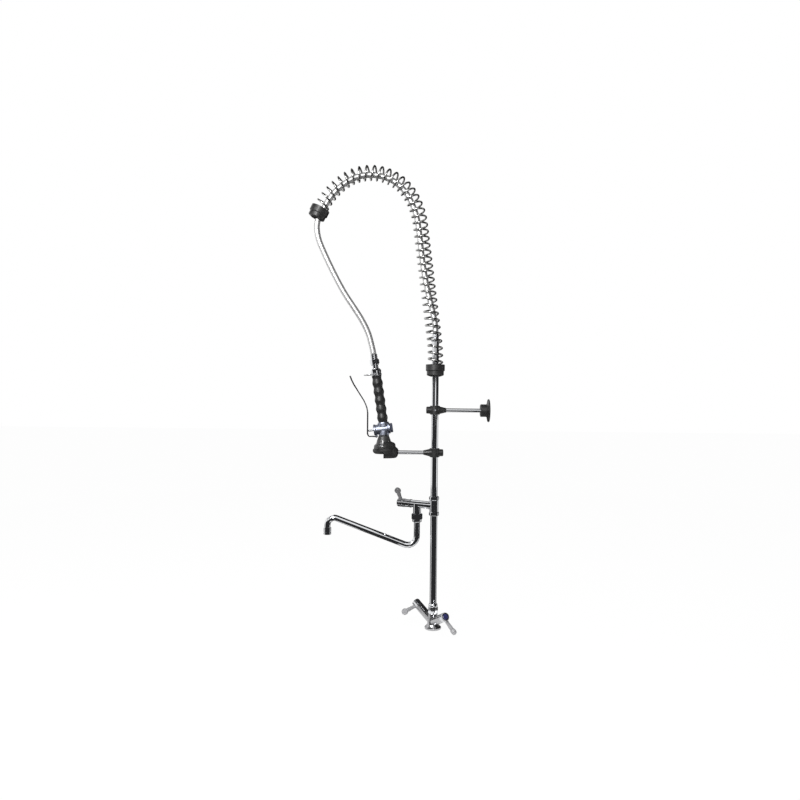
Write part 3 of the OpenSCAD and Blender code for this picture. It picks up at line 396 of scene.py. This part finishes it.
def tube_mesh(name, rings, uvs=None):
    """A closed tube through equal rings of points."""
    mesh = bpy.data.meshes.new(name)
    build = bmesh.new()
    loops = [[build.verts.new(point) for point in ring] for ring in rings]
    layer = build.loops.layers.uv.new("Along") if uvs else None
    count = len(rings[0])
    for i in range(len(loops) - 1):
        for j in range(count):
            k = (j + 1) % count
            face = build.faces.new((loops[i][j], loops[i][k], loops[i + 1][k], loops[i + 1][j]))
            face.smooth = True
            if uvs:
                places = ((i, j), (i, j + 1), (i + 1, j + 1), (i + 1, j))
                for corner, (row, column) in zip(face.loops, places):
                    corner[layer].uv = (uvs[0] * column / count, uvs[1][row])
    build.faces.new(list(reversed(loops[0])))
    build.faces.new(loops[-1])
    bmesh.ops.recalc_face_normals(build, faces=build.faces[:])
    build.to_mesh(mesh)
    build.free()
    return add_object(name, mesh)


# ---------------------------------------------------------------- operators


class FAUCET_OT_materials(bpy.types.Operator):
    """Makes the shader groups and the faucet's materials"""

    bl_idname = "faucet.materials"
    bl_label = "Materials"

    def execute(self, context):
        look = context.scene.faucet_finishes
        wiped_plating()
        moulded_grain()
        plating, grain = "Wiped plating", "Moulded grain"
        finish("Chrome", plating, look.chrome, look.chrome_roughness, 0.000007, 1.0)
        finish("Cast plating", plating, (0.47, 0.47, 0.48), 0.2, 0.00004, 1.0)
        finish("Dull plating", plating, (0.17, 0.17, 0.175), 0.4, 0.00003, 0.35)
        finish("Spring wire", plating, (0.58, 0.58, 0.57), 0.2, 0.00002, 1.0)
        finish("Satin plating", plating, look.satin, 0.42, 0.00003, 0.35)
        finish("Zinc valve", plating, (0.42, 0.45, 0.54), 0.34, 0.00005, 1.0)
        finish("Steel", plating, (0.42, 0.43, 0.45), 0.3, 0.00003, 1.0)
        finish("Brass", plating, (0.66, 0.49, 0.22), 0.24, 0.00003, 1.0)
        finish("Black plastic", grain, look.plastic, 0.38, 0.00006)
        finish("Black rubber", grain, look.rubber, 0.4, 0.00006)
        finish("Gloss plastic", grain, (0.03, 0.03, 0.03), 0.24, 0.00004)
        finish("Seal rubber", grain, (0.012, 0.012, 0.012), 0.6, 0.0001)
        finish("Dark cap", grain, (0.035, 0.04, 0.06), 0.25, 0.00004)
        finish("Grey plastic", grain, (0.09, 0.09, 0.095), 0.4, 0.00006)
        finish("Cold enamel", grain, look.cold, 0.2, 0.00003)
        finish("Hot enamel", grain, look.hot, 0.2, 0.00003)
        braid_material(look.braid, context.scene.faucet_hose.strand_width)
        return {"FINISHED"}


class FAUCET_OT_mixer(bpy.types.Operator):
    """Dresses the deck mixer, its valves and its two levers"""

    bl_idname = "faucet.mixer"
    bl_label = "Deck mixer"

    def execute(self, context):
        dress("mixer_body", "Cast plating")
        dress("riser_nut", "Chrome")
        dress("hot_lever cold_lever", "Satin plating")
        for side in ("hot", "cold"):
            hub = middle(side + "_lever_screw")
            dress_part(side + "_lever", "Chrome", lambda place: (place - hub).length < LEVER_HUB)
        dress("hot_headwork cold_headwork hot_spindle cold_spindle", "Brass")
        dress("hot_lever_screw cold_lever_screw", "Steel")
        dress("base_seal", "Seal rubber")
        dress("hot_index", "Hot enamel")
        dress("cold_index", "Cold enamel")
        return {"FINISHED"}


class FAUCET_OT_riser(bpy.types.Operator):
    """Dresses the riser tubes and the tee with its tap"""

    bl_idname = "faucet.riser"
    bl_label = "Riser and tap"

    def execute(self, context):
        dress("riser_lower riser_upper tee_body crimp_top", "Chrome")
        dress("hose_adapter", "Steel")
        dress("tap_bonnet", "Cast plating")
        dress("tap_lever", "Dull plating")
        hub = middle("tap_lever_screw")
        dress_part("tap_lever", "Cast plating", lambda place: (place - hub).length < LEVER_HUB)
        dress("tap_headwork tap_spindle", "Brass")
        dress("tap_lever_screw", "Steel")
        dress("tap_index", "Grey plastic")
        return {"FINISHED"}


class FAUCET_OT_spout(bpy.types.Operator):
    """Dresses the swing spout and its aerator"""

    bl_idname = "faucet.spout"
    bl_label = "Swing spout"

    def execute(self, context):
        dress("spout_tube spout_nut aerator_shell", "Chrome")
        dress("spout_seals", "Seal rubber")
        dress("aerator_core", "Grey plastic")
        return {"FINISHED"}


class FAUCET_OT_brackets(bpy.types.Operator):
    """Dresses the wall bracket, the spray hook and the two spring caps"""

    bl_idname = "faucet.brackets"
    bl_label = "Brackets and caps"

    def execute(self, context):
        dress("hook_clamp hook_cradle bracket_clamp wall_hub wall_flange", "Black plastic")
        dress("lower_cap end_cap", "Black plastic")
        dress("hook_rod bracket_rod", "Chrome")
        dress("hook_screw bracket_screw", "Steel")
        return {"FINISHED"}


class FAUCET_OT_spring(bpy.types.Operator):
    """Winds the left-handed hose spring along the arch"""

    bl_idname = "faucet.spring"
    bl_label = "Hose spring"

    def execute(self, context):
        size = context.scene.faucet_spring
        length = sum(leg[0] for leg in SPRING_LEGS)
        steps = int(length / size.pitch * size.turn_steps)
        rings = []
        for i in range(steps + 1):
            distance = length * i / steps
            x, z, heading = along_spring(distance)
            turn = 2 * math.pi * distance / size.pitch
            side = Vector((math.cos(heading), 0, math.sin(heading)))
            ahead = Vector((-math.sin(heading), 0, math.cos(heading)))
            back = Vector((0, 1, 0))
            out = math.cos(turn) * side - math.sin(turn) * back
            run = ahead - 2 * math.pi * size.coil_radius / size.pitch * (
                math.sin(turn) * side + math.cos(turn) * back)
            up = run.normalized().cross(out)
            centre = Vector((x, 0, z)) + size.coil_radius * out
            rings.append([
                centre + size.wire_radius * (math.cos(a) * out + math.sin(a) * up)
                for a in (2 * math.pi * j / size.wire_sides for j in range(size.wire_sides))])
        spring = tube_mesh("spring_wire", rings)
        spring.data.materials.append(bpy.data.materials["Spring wire"])
        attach(spring, "stand")
        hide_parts("hose_spring")
        return {"FINISHED"}


class FAUCET_OT_hose(bpy.types.Operator):
    """Runs the braided hose through the spring and down to the hand spray"""

    bl_idname = "faucet.hose"
    bl_label = "Hose"

    def execute(self, context):
        size = context.scene.faucet_hose
        up = Vector((-math.sin(SPRAY_LEAN), 0, math.cos(SPRAY_LEAN)))
        far = Vector(VALVE) + HOSE_FOOT * up
        points = [Vector((x / 1000, 0, z / 1000)) for x, z in HOSE_POINTS] + [far]
        first = points[0] - Vector((0, 0, 0.02))
        last = far - 0.03 * up
        guide = [first] + points + [last]
        path = []
        for i in range(1, len(guide) - 2):
            a, b, c, d = guide[i - 1:i + 3]
            for k in range(HOSE_STEPS):
                t = k / HOSE_STEPS
                path.append(0.5 * (2 * b + (c - a) * t + (2 * a - 5 * b + 4 * c - d) * t * t
                                   + (3 * b - a - 3 * c + d) * t ** 3))
        path.append(far)
        rings, travelled = [], [0.0]
        for i, point in enumerate(path):
            if i == 0:
                ahead = Vector((0, 0, 1))
            elif i == len(path) - 1:
                ahead = -up
            else:
                ahead = (path[i + 1] - path[i - 1]).normalized()
            if i:
                travelled.append(travelled[-1] + (point - path[i - 1]).length)
            side = Vector((ahead.z, 0, -ahead.x))
            rings.append([
                point + size.radius * (math.cos(a) * side + math.sin(a) * Vector((0, 1, 0)))
                for a in (2 * math.pi * j / size.sides for j in range(size.sides))])
        hose = tube_mesh("braided_hose", rings, (2 * math.pi * size.radius, travelled))
        hose.data.materials.append(bpy.data.materials["Steel braid"])
        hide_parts("hose")
        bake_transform(hose)
        return {"FINISHED"}


class FAUCET_OT_handle(bpy.types.Operator):
    """Dresses the grip, its collar and the hose's swivel end"""

    bl_idname = "faucet.handle"
    bl_label = "Handle"

    def execute(self, context):
        dress("handle_core hose_nut crimp_bottom hold_ring", "Chrome")
        dress("grip", "Black rubber", 40.0)
        return {"FINISHED"}


class FAUCET_OT_valve(bpy.types.Operator):
    """Dresses the spray valve, its trigger and the plunger"""

    bl_idname = "faucet.valve"
    bl_label = "Spray valve"

    def execute(self, context):
        dress("valve_body", "Zinc valve")
        dress("valve_cap", "Dark cap")
        dress("trigger", "Chrome")
        dress("trigger_pin plunger return_spring", "Steel")
        dress("plunger_seal", "Seal rubber")
        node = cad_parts["return_spring"]
        wire = add_object("return_wire", node.data.copy())
        wire.matrix_world = node.matrix_world.copy()
        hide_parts("return_spring")
        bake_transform(wire)
        return {"FINISHED"}


class FAUCET_OT_spray_head(bpy.types.Operator):
    """Dresses the bell, its bumper and the spray face"""

    bl_idname = "faucet.spray_head"
    bl_label = "Spray head"

    def execute(self, context):
        dress("spray_bell", "Gloss plastic")
        dress("bumper_ring", "Black rubber")
        dress("spray_face face_screw", "Steel")
        return {"FINISHED"}


class FAUCET_OT_stage(bpy.types.Operator):
    """Makes the floor, the surroundings, the lamps and the camera"""

    bl_idname = "faucet.stage"
    bl_label = "Stage"

    def execute(self, context):
        stage = context.scene.faucet_stage
        self.surroundings(context.scene, stage.fill_light)
        self.floor()
        self.dark_tent(stage.tent_shade)
        self.lamp("key_lamp", (-0.75, -1.8, 1.35), 0.5, stage.key_power)
        self.lamp("side_lamp", (1.9, -1.2, 1.5), 1.2, stage.key_power * 0.1, mirrored=False)
        self.lamp("left_lamp", (-1.5, -1.3, 1.7), 0.5, stage.key_power * 0.25)
        self.lamp("top_lamp", (-0.3, -0.2, 2.6), 1.4, stage.key_power * 0.6, mirrored=False)
        camera = add_object("camera", bpy.data.cameras.new("camera"))
        camera.data.lens = stage.lens
        camera.data.sensor_width = 36.0
        camera.data.sensor_fit = "HORIZONTAL"
        camera.data.clip_end = 60.0
        camera.matrix_world = (Matrix.Translation(stage.camera_place)
                               @ Matrix.Rotation(math.radians(90), 4, "X")
                               @ Matrix.Rotation(stage.camera_roll, 4, "Z"))
        context.scene.camera = camera
        context.scene.view_settings.view_transform = "Standard"
        return {"FINISHED"}

    def surroundings(self, scene, fill):
        world = bpy.data.worlds.new("Studio")
        world.use_nodes = True
        tree = world.node_tree
        paths = tree.nodes.new("ShaderNodeLightPath")
        seen = combine(tree, "MAXIMUM", paths.outputs["Is Camera Ray"], paths.outputs["Is Glossy Ray"])
        shown = combine(tree, "MAXIMUM", seen, paths.outputs["Is Transmission Ray"])
        level = tree.nodes.new("ShaderNodeMapRange")
        level.inputs["To Min"].default_value = fill
        level.inputs["To Max"].default_value = 1.0
        tree.links.new(shown, level.inputs["Value"])
        tree.links.new(level.outputs["Result"], tree.nodes["Background"].inputs["Strength"])
        tree.nodes["Background"].inputs["Color"].default_value = (1, 1, 1, 1)
        scene.world = world

    def floor(self):
        build = bmesh.new()
        bmesh.ops.create_grid(build, x_segments=1, y_segments=1, size=FLOOR_REACH)
        mesh = bpy.data.meshes.new("floor")
        build.to_mesh(mesh)
        build.free()
        floor = add_object("floor", mesh)
        material, tree, shader = new_material("Pale floor")
        shader.inputs["Base Color"].default_value = (0.93, 0.93, 0.93, 1)
        shader.inputs["Roughness"].default_value = 0.8
        glow = tree.nodes.new("ShaderNodeEmission")
        paths = tree.nodes.new("ShaderNodeLightPath")
        seen = combine(tree, "MAXIMUM", paths.outputs["Is Camera Ray"], paths.outputs["Is Glossy Ray"])
        mix = tree.nodes.new("ShaderNodeMixShader")
        tree.links.new(combine(tree, "MULTIPLY", seen, FLOOR_GLOW), mix.inputs["Fac"])
        tree.links.new(shader.outputs["BSDF"], mix.inputs[1])
        tree.links.new(glow.outputs["Emission"], mix.inputs[2])
        tree.links.new(mix.outputs["Shader"], tree.nodes["Material Output"].inputs["Surface"])
        mesh.materials.append(material)

    def dark_tent(self, shade):
        """A dark tent that only mirrored rays see, with openings that the plating shows as light."""
        build = bmesh.new()
        for wall in TENT_WALLS:
            self.patch(build, *wall, self.on_dome)
        for mat in TENT_MATS:
            self.patch(build, *mat, self.on_floor)
        mesh = bpy.data.meshes.new("dark_tent")
        build.to_mesh(mesh)
        build.free()
        tent = add_object("dark_tent", mesh)
        material, _, shader = new_material("Dark cloth")
        shader.inputs["Base Color"].default_value = (0, 0, 0, 1)
        shader.inputs["Specular IOR Level"].default_value = 0.0
        shader.inputs["Roughness"].default_value = 1.0
        shader.inputs["Emission Color"].default_value = (1, 1, 1.05, 1)
        shader.inputs["Emission Strength"].default_value = shade
        mesh.materials.append(material)
        tent.visible_camera = False
        tent.visible_diffuse = False
        tent.visible_shadow = False

    def on_dome(self, azimuth, elevation):
        height = math.radians(elevation)
        flat = math.cos(height)
        return TENT_MIDDLE + TENT_RADIUS * Vector(
            (flat * math.sin(azimuth), -flat * math.cos(azimuth), math.sin(height)))

    def on_floor(self, azimuth, radius):
        return Vector((radius * math.sin(azimuth), -radius * math.cos(azimuth), MAT_HEIGHT))

    def patch(self, build, first, last, low, high, place):
        """A grid of faces from one azimuth to another, and from low to high in a few rows."""
        columns = max(2, round((last - first) / DEGREES_A_COLUMN))
        grid = [[build.verts.new(place(math.radians(first + (last - first) * i / columns),
                                       low + (high - low) * j / PATCH_ROWS))
                 for j in range(PATCH_ROWS + 1)] for i in range(columns + 1)]
        for left, right in zip(grid, grid[1:]):
            for j in range(PATCH_ROWS):
                build.faces.new((left[j], right[j], right[j + 1], left[j + 1]))

    def lamp(self, name, place, size, power, mirrored=True):
        """A round soft lamp aimed at the faucet's middle; the plating mirrors it or not."""
        data = bpy.data.lights.new(name, "AREA")
        data.shape = "DISK"
        data.size = size
        data.energy = power
        lamp = add_object(name, data)
        lamp.location = place
        aim = LAMP_AIM - Vector(place)
        lamp.rotation_euler = aim.to_track_quat("-Z", "Y").to_euler()
        lamp.visible_glossy = mirrored


STEPS = (FAUCET_OT_materials, FAUCET_OT_mixer, FAUCET_OT_riser, FAUCET_OT_spout,
         FAUCET_OT_brackets, FAUCET_OT_spring, FAUCET_OT_hose, FAUCET_OT_handle,
         FAUCET_OT_valve, FAUCET_OT_spray_head, FAUCET_OT_stage)


class FAUCET_PT_panel(bpy.types.Panel):
    """Lists the faucet's settings and steps"""

    bl_idname = "FAUCET_PT_panel"
    bl_label = "Pre-rinse faucet"
    bl_space_type = "VIEW_3D"
    bl_region_type = "UI"
    bl_category = "Faucet"

    def draw(self, context):
        for name in ("faucet_finishes", "faucet_spring", "faucet_hose", "faucet_stage"):
            group = getattr(context.scene, name)
            box = self.layout.box()
            for prop in group.bl_rna.properties:
                if prop.identifier not in ("rna_type", "name"):
                    box.prop(group, prop.identifier)
        for step in STEPS:
            self.layout.operator(step.bl_idname)


def register():
    for kind in (*SETTINGS, *STEPS, FAUCET_PT_panel):
        bpy.utils.register_class(kind)
    for name, kind in zip(("finishes", "spring", "hose", "stage"), SETTINGS):
        setattr(bpy.types.Scene, "faucet_" + name, bpy.props.PointerProperty(type=kind))


def unregister():
    for name in ("finishes", "spring", "hose", "stage"):
        delattr(bpy.types.Scene, "faucet_" + name)
    for kind in reversed((*SETTINGS, *STEPS, FAUCET_PT_panel)):
        bpy.utils.unregister_class(kind)


def main():
    register()
    for step in STEPS:
        area, name = step.bl_idname.split(".")
        getattr(getattr(bpy.ops, area), name)()


if __name__ == "__main__":
    main()
